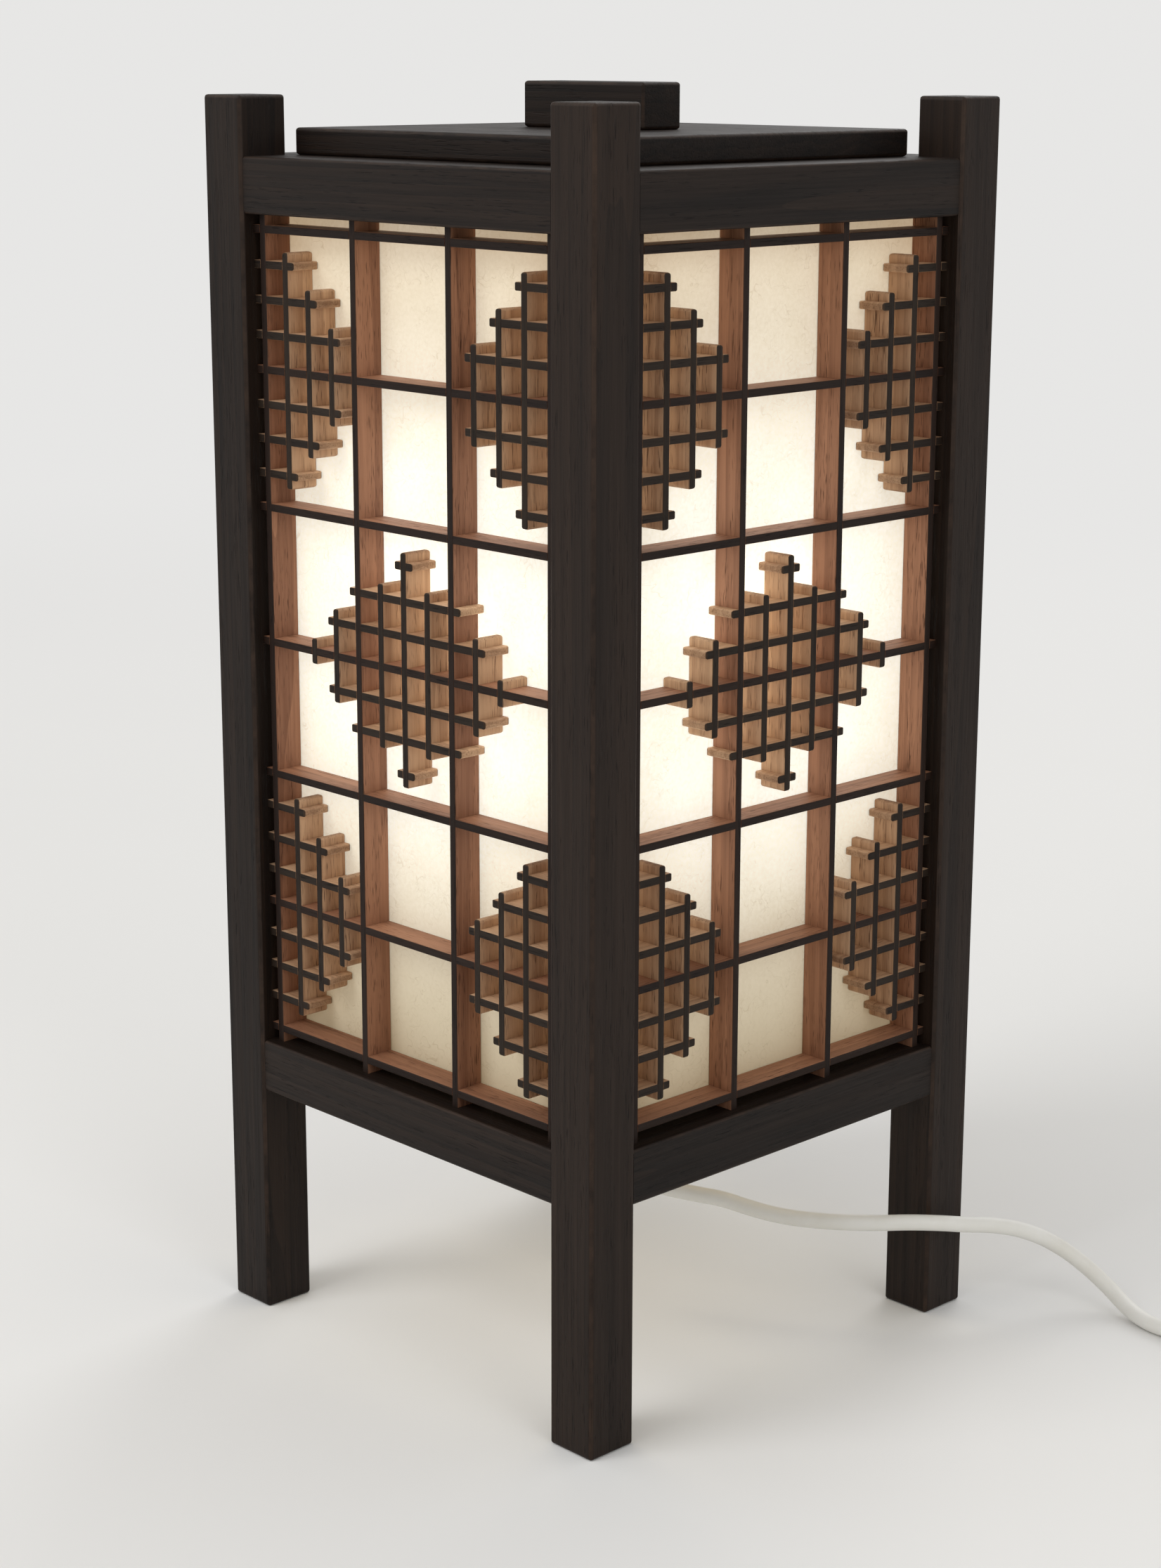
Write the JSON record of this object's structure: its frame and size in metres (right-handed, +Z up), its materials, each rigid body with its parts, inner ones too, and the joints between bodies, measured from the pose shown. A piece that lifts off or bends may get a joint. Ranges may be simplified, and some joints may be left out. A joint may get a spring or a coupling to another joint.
{
  "type": "andon table lamp",
  "caption": "Square andon table lamp with dark posts, paper sides behind a diamond strip lattice, a lift-off lid board with a grip block, a bulb and a switched mains lead.",
  "frame": {"origin": "on the table, under the middle of the four posts", "axes": "+Z up; the front, the picture's left face, looks along -Y; the right side, the picture's right face, looks along +X, and the lead leaves under it"},
  "size_m": [0.4743, 0.252, 0.485],
  "materials": {
    "dark_walnut": "dark brown oiled walnut, satin, fine open grain",
    "lattice_wood": "reddish brown sanded strips, matt, open pores",
    "washi": "thin fibrous paper lit from behind",
    "porcelain": "glossy white glaze",
    "brass": "plain brass, lightly dulled",
    "nickel": "satin nickel plate",
    "steel": "zinc plated screws",
    "frosted_glass": "frosted white inside, lit",
    "white_plastic": "moulded, fine satin",
    "grey_plastic": "smooth moulded rocker",
    "white_lead": "smooth soft sheath"
  },
  "bodies": {
    "frame": {"post_front_left": "dark_walnut", "post_front_right": "dark_walnut", "post_back_right": "dark_walnut", "post_back_left": "dark_walnut", "top_rail_front": "dark_walnut", "top_rail_right": "dark_walnut", "top_rail_back": "dark_walnut", "top_rail_left": "dark_walnut", "bottom_rail_front": "dark_walnut", "bottom_rail_right": "dark_walnut", "bottom_rail_back": "dark_walnut", "bottom_rail_left": "dark_walnut", "long_uprights_front": "lattice_wood", "long_uprights_right": "lattice_wood", "long_uprights_back": "lattice_wood", "long_uprights_left": "lattice_wood", "long_crosspieces_front": "lattice_wood", "long_crosspieces_right": "lattice_wood", "long_crosspieces_back": "lattice_wood", "long_crosspieces_left": "lattice_wood", "short_uprights_front": "lattice_wood", "short_uprights_right": "lattice_wood", "short_uprights_back": "lattice_wood", "short_uprights_left": "lattice_wood", "short_crosspieces_front": "lattice_wood", "short_crosspieces_right": "lattice_wood", "short_crosspieces_back": "lattice_wood", "short_crosspieces_left": "lattice_wood", "paper_front": "washi", "paper_right": "washi", "paper_back": "washi", "paper_left": "washi", "lid_cleats": "dark_walnut", "cleat_screws": "brass", "lamp_bar": "dark_walnut", "stem": "brass", "stem_nut": "brass", "holder_body": "porcelain", "holder_shell": "brass", "holder_contact": "brass", "cord_relief": "white_plastic", "inner_cord": "white_lead", "cord_lead": "white_lead", "switch_lower": "white_plastic", "switch_upper": "white_plastic", "switch_screws": "steel", "switch_sleeves": "white_plastic", "cord_link": "white_lead", "cord_coil": "white_lead", "cord_tail": "white_lead", "plug_sleeve": "white_plastic", "plug_body": "white_plastic", "plug_blades": "nickel"},
    "lid": {"lid_board": "dark_walnut", "lid_grip": "dark_walnut", "grip_screws": "brass"},
    "bulb": {"bulb_cap": "nickel", "bulb_contact": "steel", "bulb_glass": "frosted_glass"},
    "rocker": {"switch_rocker": "grey_plastic"}
  },
  "joints": [
    {"name": "lid_lift", "type": "slide", "parent": "frame", "child": "lid", "axis": [0, 0, 1], "range_m": [0, 0.06]},
    {"name": "bulb_lift", "type": "slide", "parent": "frame", "child": "bulb", "axis": [0, 0, 1], "range_m": [0, 0.035]},
    {"name": "rocker_tilt", "type": "hinge", "parent": "frame", "child": "rocker", "pos_m": [0.272, 0.135, 0.016], "axis": [0, 1, 0], "range_deg": [-16, 0]}
  ]
}
